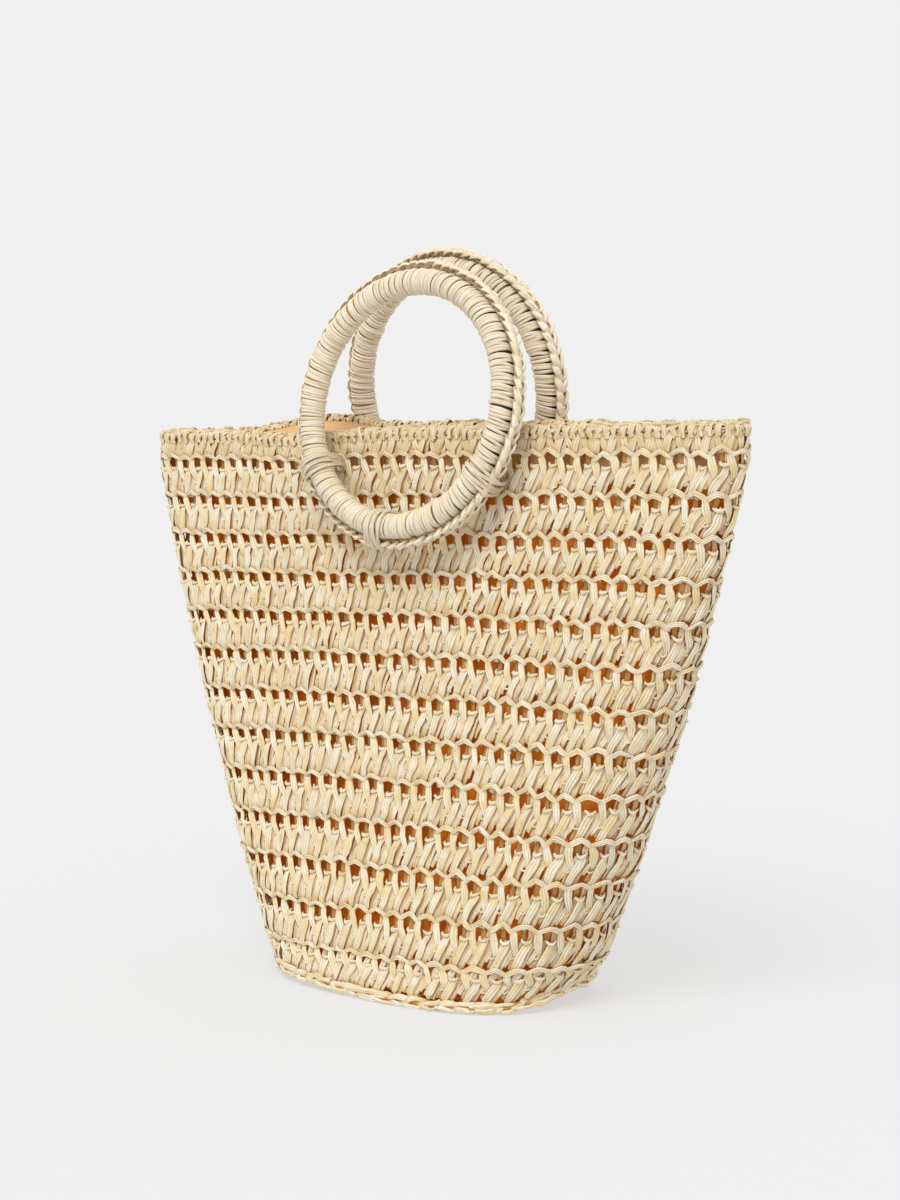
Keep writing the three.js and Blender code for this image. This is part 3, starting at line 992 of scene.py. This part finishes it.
@dataclass
class RingHandle:
    """A ring wound with straw, edged with a crocheted chain and lashed to the wall."""

    name: str
    side: int
    lean: float
    chain_turn: float
    form: BagForm
    tube: float = 6.6
    radius: float = 62.5
    groups: int = 74
    wraps_in_group: int = 3
    tightest: float = 20.0  # where round the ring the chain draws the wraps together most
    wrap_half_width: float = 0.98
    wrap_half_thick: float = 0.78
    wrap_slant: float = 0.5
    gather: float = 0.32  # how far the chain draws three wraps together at the tightest
    core_inset: float = 1.3
    cord_half_width: float = 2.2
    cord_sink: float = -0.9
    lift: float = 2.0  # how much higher the photographed ring hangs than its solid
    twist: float = -7.5  # how far the chain's turn strays from its mean, in degrees
    lashings: tuple[tuple[str, float], ...] = (("right", -32.0), ("bottom", -96.0), ("left", -148.0))

    def __post_init__(self) -> None:
        """Reads the ring's place from its solid."""
        low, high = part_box(f"ring_handle_{self.name}")
        self.centre = np.array((low + high) / 2) / MM + np.array([0.0, 0.0, self.lift])
        lean = math.radians(self.lean)
        self.up = np.array([0.0, -self.side * math.sin(lean), math.cos(lean)])
        self.away = np.array([0.0, self.side * math.cos(lean), math.sin(lean)])

    def radial(self, angle: Array) -> Array:
        """Gives the direction from the ring's centre at an angle round it."""
        flat = np.cos(angle)[..., None] * np.array([1.0, 0.0, 0.0])
        return flat + np.sin(angle)[..., None] * self.up

    def beside(self, angle: Array, turn: Array, distance: Array) -> tuple[Array, Array]:
        """Gives points beside the tube.

        Args:
            angle: angle round the ring.
            turn: angle round the tube, from straight out of the ring towards away.
            distance: distance from the middle of the tube.

        Returns:
            The points and the directions from the tube's middle.
        """
        radial = self.radial(angle)
        direction = np.cos(turn)[..., None] * radial + np.sin(turn)[..., None] * self.away
        return self.centre + radial * self.radius + direction * distance[..., None], direction

    def build(self, straw: bpy.types.Material, core: bpy.types.Material) -> None:
        """Makes the ring's core, winding, chain and lashings."""
        self._core(core)
        self._winding(straw)
        self._edging(straw)
        for name, angle in self.lashings:
            self._lashing(name, angle, straw)

    def _core(self, material: bpy.types.Material) -> None:
        """Makes the ring inside the winding."""
        bpy.ops.object.select_all(action="DESELECT")
        bpy.ops.mesh.primitive_torus_add(
            location=self.centre * MM,
            major_radius=self.radius * MM,
            minor_radius=(self.tube - self.core_inset) * MM,
            major_segments=96,
            minor_segments=16,
        )
        core = bpy.context.object
        core.name = f"ring_core_{self.name}"
        across = Vector(np.cross([1, 0, 0], self.up))
        axes = Matrix((Vector((1, 0, 0)), Vector(self.up), across)).transposed()
        core.rotation_euler = axes.to_euler()
        bpy.ops.object.transform_apply(location=True, rotation=True, scale=True)
        bpy.ops.object.shade_smooth()
        core.data.materials.append(material)
        hand_over(core)

    def _winding(self, material: bpy.types.Material) -> None:
        """Makes the wraps, drawn together in threes towards the chain."""
        mesh = StrandMesh(f"ring_winding_{self.name}", seed=31 + self.side)
        total = self.groups * self.wraps_in_group
        index = np.arange(total)
        group = index // self.wraps_in_group
        within = index % self.wraps_in_group - (self.wraps_in_group - 1) / 2
        steps = 20
        turn = np.broadcast_to(np.linspace(0, FULL_TURN, steps, endpoint=False), (total, steps))
        near = np.cos(turn - math.radians(self.chain_turn))
        spacing = FULL_TURN / total
        middle = (group[:, None] + 0.5) * spacing * self.wraps_in_group
        gather = self.gather * ((1 + np.cos(middle - math.radians(self.tightest))) / 2) ** 2
        gather = gather * mesh.random.uniform(0.5, 1.4, self.groups)[group, None]
        pinch = gather * np.clip(near + 0.1, 0, 1) ** 2
        shifted = mesh.random.normal(0, 0.08, (total, 1))
        slanted = mesh.random.normal(0, 0.16, (total, 1)) * np.sin(turn)
        stray = shifted + slanted
        stray = stray + self.wrap_slant * np.sin(turn - math.radians(self.chain_turn + 90))
        angle = middle + (within[:, None] * (1 - pinch) + stray) * spacing
        thick = self.wrap_half_thick
        distance = self.tube - thick + mesh.random.normal(0, 0.2, (total, 1)) * np.ones(steps)
        centre, direction = self.beside(angle, turn, distance)
        half = np.broadcast_to([self.wrap_half_width, thick], (total, steps, 2))
        half = half * mesh.random.normal(1, 0.08, (total, 1, 1))
        mesh.add(centre, direction, half, np.ones((total, steps)), sides=6, closed=True, roll=9, crease=0.0)
        mesh.build(material, Slot.WINDING, [f"ring_handle_{self.name}"])

    def _edging(self, material: bpy.types.Material) -> None:
        """Makes the chain along the ring's outer edge, and the cord under it."""
        mesh = StrandMesh(f"ring_chain_{self.name}", seed=41 + self.side)

        def curve(share: Array) -> tuple[Array, Array, Array]:
            """Gives the line on the wound tube that the chain lies on."""
            angle = share * FULL_TURN
            full = np.radians(self.chain_turn + self.twist * self.side * np.cos(angle))
            centre, outward = self.beside(angle, full, np.full_like(angle, self.tube + 1.2))
            _, sideways = self.beside(angle, full + math.pi / 2, np.zeros_like(angle))
            return centre, sideways, outward

        Chain(2.7, 1.9, 1.85, 1.45, overlap=1.6, sides=8, stray=0.08).lay(mesh, curve, self.groups)
        steps = 240
        share = np.linspace(0, 1, steps, endpoint=False)[None]
        bead = np.sin(share * FULL_TURN * self.groups + 1.0)
        centre, sideways, outward = curve(share)
        centre = centre + sideways * (0.15 * bead[..., None]) + outward * self.cord_sink
        centre = centre + mesh.random.normal(0, 0.15, centre.shape)
        half = np.stack([self.cord_half_width * (1 + 0.15 * bead), 0.8 + 0.1 * bead], axis=-1)
        mesh.add(centre, outward, half, np.full(share.shape, 0.8), sides=6, closed=True)
        stretches = ("top", "below_right", "below_bottom")
        mesh.build(material, Slot.WINDING, [f"ring_chain_{self.name}_{stretch}" for stretch in stretches])

    def _lashing(self, name: str, degrees: float, material: bpy.types.Material) -> None:
        """Makes the wraps that bind the ring and its chain to the wall.

        Args:
            name: which lashing it is.
            degrees: where it is round the ring.
            material: its finish.
        """
        mesh = StrandMesh(f"lashing_{self.name}_{name}", seed=51 + self.side)
        wraps, steps = 5, 28
        spacing = 1.9 / self.radius
        turn = np.broadcast_to(np.linspace(0, FULL_TURN, steps, endpoint=False), (wraps, steps))
        slant = spacing * (0.5 + mesh.random.normal(0, 0.35, (wraps, 1))) * np.sin(turn - 0.5)
        offsets = (np.arange(wraps) - (wraps - 1) / 2)[:, None] * spacing
        angle = math.radians(degrees) + offsets * (1 - 0.25 * np.clip(-np.sin(turn), 0, 1)) + slant
        tube = self.centre + self.radial(np.array(math.radians(degrees))) * self.radius
        gap = abs(tube[1]) - self.form.reach(self.side, tube[0], tube[2])
        over_chain = 4.4 * np.clip(np.cos(turn - math.radians(self.chain_turn)), 0, 1) ** 4
        plain = self.tube + 0.75
        to_wall = max(0.0, gap - plain) * np.clip(-np.sin(turn), 0, 1) ** 4
        stray = mesh.random.normal(0, 0.25, (wraps, 1))
        centre, direction = self.beside(angle, turn, plain + over_chain + to_wall + stray)
        half = np.broadcast_to([0.95, 0.85], (wraps, steps, 2))
        mesh.add(centre, direction, half, np.ones((wraps, steps)), sides=8, closed=True, roll=8, crease=0.5)
        mesh.build(material, Slot.WINDING, [f"ring_lashing_{self.name}_{name}"])


@dataclass
class Lining:
    """The cloth pouch inside the bag."""

    form: BagForm
    floor: float = 5.2
    top: float = 286.4
    inset: float = 5.9
    top_inset: float = 4.7
    columns: int = 180
    rows: int = 32
    rings: int = 5
    thickness: float = 0.7
    wrinkle: float = 0.5
    flat_width: float = 0.39
    flat_length: float = 0.69
    flat_share: float = 0.78  # the share of that rectangle that the cloth covers

    def build(self, material: bpy.types.Material) -> None:
        share = np.linspace(0, 1, self.columns, endpoint=False)
        heights = np.linspace(self.floor + 2, self.top, self.rows)
        loops = []
        for height in heights:
            rise = (height - self.floor) / (self.top - self.floor)
            inset = self.inset if rise < 0.97 else self.top_inset
            broad = np.sin(share * FULL_TURN * 23 + 3 * np.sin(rise * 5))
            folds = broad + np.sin(share * FULL_TURN * 41 - rise * 7)
            out = -inset + self.wrinkle * 0.5 * folds * math.sin(math.pi * min(1.0, rise))
            loops.append(self.form.place(share, np.full_like(share, height), out)[0])
        foot = loops[0].copy()
        foot[:, 2] = self.floor + 0.6 + self.form.curl(foot)
        loops[0] = foot
        for ring in range(1, self.rings + 1):
            scale = 1 - ring / self.rings
            inner = foot * np.array([scale if ring < self.rings else 0.0, scale, 1.0])
            inner[:, 2] = self.floor + 0.6 + self.form.curl(inner)
            loops.insert(0, inner)
        corners = np.concatenate(loops) * MM
        faces = []
        for row in range(len(loops) - 1):
            for column in range(self.columns):
                beside = (column + 1) % self.columns
                low, high = row * self.columns, (row + 1) * self.columns
                faces.append((low + column, low + beside, high + beside, high + column))
        mesh = bpy.data.meshes.new("lining_pouch")
        mesh.from_pydata(corners.tolist(), [], faces)
        piece = bpy.data.objects.new("lining_pouch", mesh)
        bpy.context.scene.collection.objects.link(piece)
        bpy.ops.object.select_all(action="DESELECT")
        bpy.context.view_layer.objects.active = piece
        piece.select_set(True)
        bpy.ops.object.mode_set(mode="EDIT")
        bpy.ops.mesh.select_all(action="SELECT")
        bpy.ops.mesh.remove_doubles(threshold=0.0002)
        bpy.ops.mesh.normals_make_consistent(inside=False)
        bpy.ops.object.mode_set(mode="OBJECT")
        bpy.ops.object.shade_smooth()
        wall = piece.modifiers.new("cloth", "SOLIDIFY")
        wall.thickness = self.thickness * MM
        wall.offset = 0.0
        bpy.ops.object.modifier_apply(modifier=wall.name)
        piece.data.materials.append(material)
        hand_over(piece, ["lining"])


class Value:
    """A number or colour in a shader, with the operators that make Math nodes."""

    def __init__(self, shader: "Shader", socket: bpy.types.NodeSocket) -> None:
        """Wraps an output socket."""
        self.shader = shader
        self.socket = socket

    def _math(self, operation: str, *operands: "Value | float") -> "Value":
        """Adds a Math node on these operands."""
        node = self.shader.node("ShaderNodeMath", {"operation": operation}, dict(enumerate(operands)))
        return Value(self.shader, node.outputs[0])

    def __add__(self, other: "Value | float") -> "Value":
        """Adds."""
        return self._math("ADD", self, other)

    def __sub__(self, other: "Value | float") -> "Value":
        """Subtracts."""
        return self._math("SUBTRACT", self, other)

    def __rsub__(self, other: float) -> "Value":
        """Subtracts from a number."""
        return self._math("SUBTRACT", other, self)

    def __mul__(self, other: "Value | float") -> "Value":
        """Multiplies."""
        return self._math("MULTIPLY", self, other)

    __radd__ = __add__
    __rmul__ = __mul__

    def distance(self, other: float) -> "Value":
        """Gives the distance from a number."""
        return self._math("ABSOLUTE", self - other)

    def sine(self) -> "Value":
        """Gives the sine."""
        return self._math("SINE", self)

    def fraction(self) -> "Value":
        """Gives the part after the decimal point."""
        return self._math("FRACT", self)

    def between(self, low: float, high: float) -> "Value":
        """Ramps smoothly from 0 at low to 1 at high."""
        settings = {"interpolation_type": "SMOOTHSTEP"}
        node = self.shader.node("ShaderNodeMapRange", settings, {0: self, 1: low, 2: high})
        return Value(self.shader, node.outputs[0])


class Shader:
    """Builds one material's nodes."""

    def __init__(self, name: str) -> None:
        """Starts a material with nothing but its shader."""
        self.material = bpy.data.materials.new(name)
        self.material.use_nodes = True
        self.tree = self.material.node_tree
        self.surface = self.tree.nodes["Principled BSDF"]

    def node(self, kind: str, settings: dict | None = None, inputs: dict | None = None) -> bpy.types.Node:
        """Adds a node.

        Args:
            kind: the node's type.
            settings: its own settings, set first.
            inputs: values or links by socket name or number.

        Returns:
            The node.
        """
        node = self.tree.nodes.new(kind)
        for name, value in (settings or {}).items():
            if name == "stops":
                self._set_stops(node.color_ramp, value)
            else:
                setattr(node, name, value)
        for key, value in (inputs or {}).items():
            self.feed(node.inputs[key], value)
        return node

    @staticmethod
    def _set_stops(ramp: bpy.types.ColorRamp, stops: list[tuple[float, tuple]]) -> None:
        """Sets a ramp's stops."""
        while len(ramp.elements) < len(stops):
            ramp.elements.new(0.5)
        for element, (place, colour) in zip(ramp.elements, stops):
            element.position = place
            element.color = colour

    def feed(self, socket: bpy.types.NodeSocket, value: object) -> None:
        """Links or sets a socket."""
        if isinstance(value, Value):
            self.tree.links.new(value.socket, socket)
        elif isinstance(value, bpy.types.NodeSocket):
            self.tree.links.new(value, socket)
        else:
            socket.default_value = value

    def attribute(self, name: str) -> Value:
        """Reads a number that the piece carries."""
        node = self.node("ShaderNodeAttribute", {"attribute_type": "GEOMETRY", "attribute_name": name})
        return Value(self, node.outputs["Fac"])

    def mix(self, share: "Value | float", first: object, second: object) -> Value:
        """Mixes two colours."""
        settings = {"data_type": "RGBA", "blend_type": "MIX"}
        node = self.node("ShaderNodeMix", settings, {0: share, 6: first, 7: second})
        return Value(self, node.outputs[2])

    def noise(self, place: Value, scale: float, detail: float = 2.0, roughness: float = 0.5) -> Value:
        """Reads a noise pattern."""
        node = self.node("ShaderNodeTexNoise", None, {"Vector": place, "Scale": scale, "Detail": detail})
        node.inputs["Roughness"].default_value = roughness
        return Value(self, node.outputs[0])

    def bump(self, height: Value, strength: float, distance: float) -> Value:
        """Turns a height into a bent normal."""
        node = self.node("ShaderNodeBump", None, {"Height": height})
        node.inputs["Strength"].default_value = strength
        node.inputs["Distance"].default_value = distance
        return Value(self, node.outputs[0])


@dataclass(frozen=True)
class StrawFinish:
    """Folded paper straw: pale ribbons with painted shade along their folds and sides, painted highlights on
    their ridges, and painted shade where they lie deep in the work.
    """

    name: str
    cream: tuple = srgb(226, 209, 166)
    pale: tuple = srgb(231, 224, 202)
    # painted highlight along each strand's ridges
    light: tuple = srgb(236, 233, 221)
    # painted shade for the strands' fine folds and creases
    crease_shade: tuple = srgb(205, 158, 68)
    # painted shade along a strand's sides and underside, where its neighbours shade it
    edge_shade: tuple = srgb(164, 106, 22)
    # painted warm shade for strands that lie deep in the work
    recess_shade: tuple = srgb(200, 134, 28)
    crease_shade_share: float = 0.8  # how strongly the painted crease shade shows along the folds
    outline: float = 0.6  # how strongly the painted shade shows along a strand's sides
    low: float = 0.25  # the depth in the work where the painted shade of deep-lying strands is strongest
    high: float = 0.65  # and where it ends
    recess_shade_share: float = 0.8  # how strongly the painted shade of deep-lying strands shows
    roughness: float = 0.6
    fibres: float = 1.6
    bump: float = 0.5

    def make(self) -> bpy.types.Material:
        """Builds the material."""
        shader = Shader(self.name)
        coordinates = shader.node("ShaderNodeUVMap", {"uv_map": "straw"})
        split = shader.node("ShaderNodeSeparateXYZ", None, {0: coordinates.outputs[0]})
        along, across = Value(shader, split.outputs[0]), Value(shader, split.outputs[1])
        tone, depth = shader.attribute("tone"), shader.attribute("depth")
        place = {0: along * 0.2, 1: across * self.fibres, 2: tone * 37.0}
        join = shader.node("ShaderNodeCombineXYZ", None, place)
        folds = shader.noise(Value(shader, join.outputs[0]), 1.0, 3.0, 0.6)
        # painted shade: thin lines where the fold pattern falls in a narrow band, standing in for the shade
        # in the fine folds
        fold_shade_lines = folds.between(0.55, 0.66)
        blotch = shader.node("ShaderNodeCombineXYZ", None, {0: along * 0.12, 1: tone * 9.0, 2: tone * 23.0})
        patches = shader.noise(Value(shader, blotch.outputs[0]), 1.0, 2.0)
        colour = shader.mix(patches.between(0.35, 0.65), self.cream, self.pale)
        colour = shader.mix(fold_shade_lines * 0.6, colour, self.crease_shade)
        height = (across * 0.5).fraction().distance(0.5)
        # painted highlight: the ridges between the folds are made paler
        ridge_highlight = 1 - height.between(0.05, 0.25)
        colour = shader.mix(ridge_highlight * patches.between(0.3, 0.6) * 0.5, colour, self.light)
        # painted shade in the valleys between a strand's ridges
        crease_shade_mask = height.between(0.36, 0.5) * (patches.between(0.3, 0.6) * 0.5 + 0.5)
        colour = shader.mix(crease_shade_mask * self.crease_shade_share, colour, self.crease_shade)
        # painted shade along each strand's sides and underside
        sides = shader.attribute("edge").between(0.45, 1.0)
        colour = shader.mix(sides * self.outline, colour, self.edge_shade)
        # painted shade on strands that lie deep in the work
        colour = shader.mix((1 - depth.between(self.low, self.high)) * self.recess_shade_share, colour, self.recess_shade)
        shader.feed(shader.surface.inputs["Base Color"], colour)
        shader.surface.inputs["Roughness"].default_value = self.roughness
        shader.surface.inputs["Specular IOR Level"].default_value = 0.35
        shader.feed(shader.surface.inputs["Normal"], shader.bump(folds, self.bump, 0.0006))
        return shader.material


@dataclass(frozen=True)
class CoreFinish:
    """The ring inside the winding, dark towards the right as painted shade for the slits where the wraps
    part.
    """

    # painted shade seen in the slits between the parted wraps
    slit_shade: tuple = srgb(46, 38, 22)
    light: tuple = srgb(178, 146, 96)
    slit_shade_from: float = 0.02
    slit_shade_to: float = 0.05

    def make(self) -> bpy.types.Material:
        """Builds the material."""
        shader = Shader("ring_core")
        place = shader.node("ShaderNodeTexCoord")
        grain = shader.noise(Value(shader, place.outputs["Object"]), 300.0, 3.0)
        split = shader.node("ShaderNodeSeparateXYZ", None, {0: Value(shader, place.outputs["Object"])})
        # painted shade towards the right, where the wraps part
        share = Value(shader, split.outputs[0]).between(self.slit_shade_from, self.slit_shade_to)
        shader.feed(shader.surface.inputs["Base Color"], shader.mix(share, self.light, self.slit_shade))
        shader.surface.inputs["Roughness"].default_value = 0.8
        shader.feed(shader.surface.inputs["Normal"], shader.bump(grain, 0.3, 0.0004))
        return shader.material


@dataclass(frozen=True)
class ClothFinish:
    """Plain woven lining cloth: its own colour at the mouth, and below the rim a saturated orange with a
    faint glow, painted to stand in for the warm bounce light and shade seen through the holes.
    """

    inside: tuple = srgb(218, 180, 130)
    # painted warm bounce light and shade below the rim, seen through the holes
    painted_bounce: tuple = srgb(250, 150, 22)
    shade: tuple = srgb(222, 120, 14)
    # a painted glow that lights the lining below the rim
    painted_glow: tuple = srgb(255, 132, 20)
    painted_glow_strength: float = 0.055
    rim_foot: float = 0.262
    threads: float = 900.0

    def make(self) -> bpy.types.Material:
        """Builds the material."""
        shader = Shader("lining_cloth")
        place = Value(shader, shader.node("ShaderNodeTexCoord").outputs["Object"])
        split = shader.node("ShaderNodeSeparateXYZ", None, {0: place})
        warp = Value(shader, split.outputs[0]) * (self.threads * FULL_TURN)
        weft = Value(shader, split.outputs[2]) * (self.threads * FULL_TURN)
        weave = warp.sine() * weft.sine()
        blotch = shader.noise(place, 60.0, 3.0)
        # painted warm bounce light and shade, varied in patches
        colour = shader.mix(blotch.between(0.3, 0.7), self.painted_bounce, self.shade)
        height = Value(shader, split.outputs[2])
        # the cloth's own colour only above the rim's foot
        colour = shader.mix(height.between(self.rim_foot, self.rim_foot + 0.01), colour, self.inside)
        shader.feed(shader.surface.inputs["Base Color"], colour)
        shader.surface.inputs["Roughness"].default_value = 0.9
        # painted glow: the lining lights itself though it is no lamp
        shader.surface.inputs["Emission Color"].default_value = self.painted_glow
        shader.surface.inputs["Emission Strength"].default_value = self.painted_glow_strength
        shader.feed(shader.surface.inputs["Normal"], shader.bump(weave, 0.25, 0.0002))
        return shader.material


@dataclass
class Studio:
    """The pale floor, the soft light and the camera."""

    azimuth: float = 40.0
    elevation: float = 8.0
    distance: float = 1.588
    target: tuple[float, float, float] = (0.0, 0.0, 0.15)
    focal: float = 3065.0  # in pixels of the photograph
    frame_width: float = 900.0
    frame_height: float = 1200.0
    target_pixel: tuple[float, float] = (433.6, 696.5)
    background: float = 0.871
    floor_albedo: float = 0.25
    sun_azimuth: float = 18.0
    sun_elevation: float = 50.0
    sun_angle: float = 36.0
    sun_radiance: float = 0.52

    def build(self) -> None:
        """Makes the studio."""
        self._camera()
        self._light()
        self._floor()
        bpy.context.scene.view_settings.view_transform = "Standard"
        bpy.context.scene.view_settings.look = "None"

    def _camera(self) -> None:
        """Places the camera at the photograph's viewing angle."""
        az, el = math.radians(self.azimuth), math.radians(self.elevation)
        back = Vector((math.sin(az) * math.cos(el), -math.cos(az) * math.cos(el), math.sin(el)))
        data = bpy.data.cameras.new("camera")
        camera = bpy.data.objects.new("camera", data)
        bpy.context.scene.collection.objects.link(camera)
        data.lens = data.sensor_width * self.focal / self.frame_height
        data.shift_x = (self.frame_width / 2 - self.target_pixel[0]) / self.frame_height
        data.shift_y = (self.target_pixel[1] - self.frame_height / 2) / self.frame_height
        camera.location = Vector(self.target) + back * self.distance
        camera.rotation_euler = (-back).to_track_quat("-Z", "Y").to_euler()
        bpy.context.scene.camera = camera

    def _light(self) -> None:
        """Lights the scene from all round and with one broad key from the front left."""
        world = bpy.data.worlds.new("studio")
        bpy.context.scene.world = world
        world.use_nodes = True
        sky = world.node_tree.nodes["Background"]
        sky.inputs["Color"].default_value = (self.background, self.background, self.background, 1)
        sky.inputs["Strength"].default_value = 1.0
        az, el = math.radians(self.sun_azimuth), math.radians(self.sun_elevation)
        back = Vector((math.sin(az) * math.cos(el), -math.cos(az) * math.cos(el), math.sin(el)))
        data = bpy.data.lights.new("key", "SUN")
        data.angle = math.radians(self.sun_angle)
        data.energy = self.sun_radiance * math.pi
        key = bpy.data.objects.new("key", data)
        key.rotation_euler = back.to_track_quat("Z", "Y").to_euler()
        bpy.context.scene.collection.objects.link(key)

    def _floor(self) -> None:
        """Makes the floor, as bright as the background where nothing shades it."""
        bpy.ops.object.select_all(action="DESELECT")
        bpy.ops.mesh.primitive_plane_add(size=60, location=(0, 0, 0))
        floor = bpy.context.object
        floor.name = "studio_floor"
        shader = Shader("studio_floor")
        grey = self.floor_albedo
        lit = self.background + self.sun_radiance * math.sin(math.radians(self.sun_elevation))
        shader.surface.inputs["Base Color"].default_value = (grey, grey, grey, 1)
        shader.surface.inputs["Emission Color"].default_value = (1, 1, 1, 1)
        shader.surface.inputs["Emission Strength"].default_value = self.background - grey * lit
        shader.surface.inputs["Roughness"].default_value = 1.0
        shader.surface.inputs["Specular IOR Level"].default_value = 0.0
        floor.data.materials.append(shader.material)


def main() -> None:
    """Builds the bag piece by piece."""
    logging.basicConfig(level=logging.INFO, format="%(message)s")
    form = BagForm()
    crochet = StrawFinish("straw_crochet").make()
    winding = StrawFinish(
        "straw_winding",
        cream=srgb(224, 210, 180),
        pale=srgb(232, 223, 202),
        light=srgb(240, 235, 220),
        crease_shade=srgb(206, 168, 104),
        edge_shade=srgb(150, 120, 72),
        recess_shade=srgb(196, 170, 122),
        crease_shade_share=0.6,
    ).make()
    close_work = StrawFinish(
        "straw_rim",
        cream=srgb(214, 195, 152),
        pale=srgb(224, 209, 176),
        light=srgb(232, 226, 210),
        outline=0.4,
    ).make()
    core = CoreFinish().make()
    cloth = ClothFinish().make()
    CrochetWall(form).build(crochet)
    RimBand(form).build(close_work)
    BaseWork(form).build(crochet)
    front = RingHandle("front", side=-1, lean=12.0, chain_turn=-18.5, form=form)
    front.build(winding, core)
    back = RingHandle("back", side=1, lean=5.0, chain_turn=12.0, form=form, twist=-12.0)
    back.build(winding, core)
    Lining(form).build(cloth)
    Studio().build()


if __name__ == "__main__":
    main()
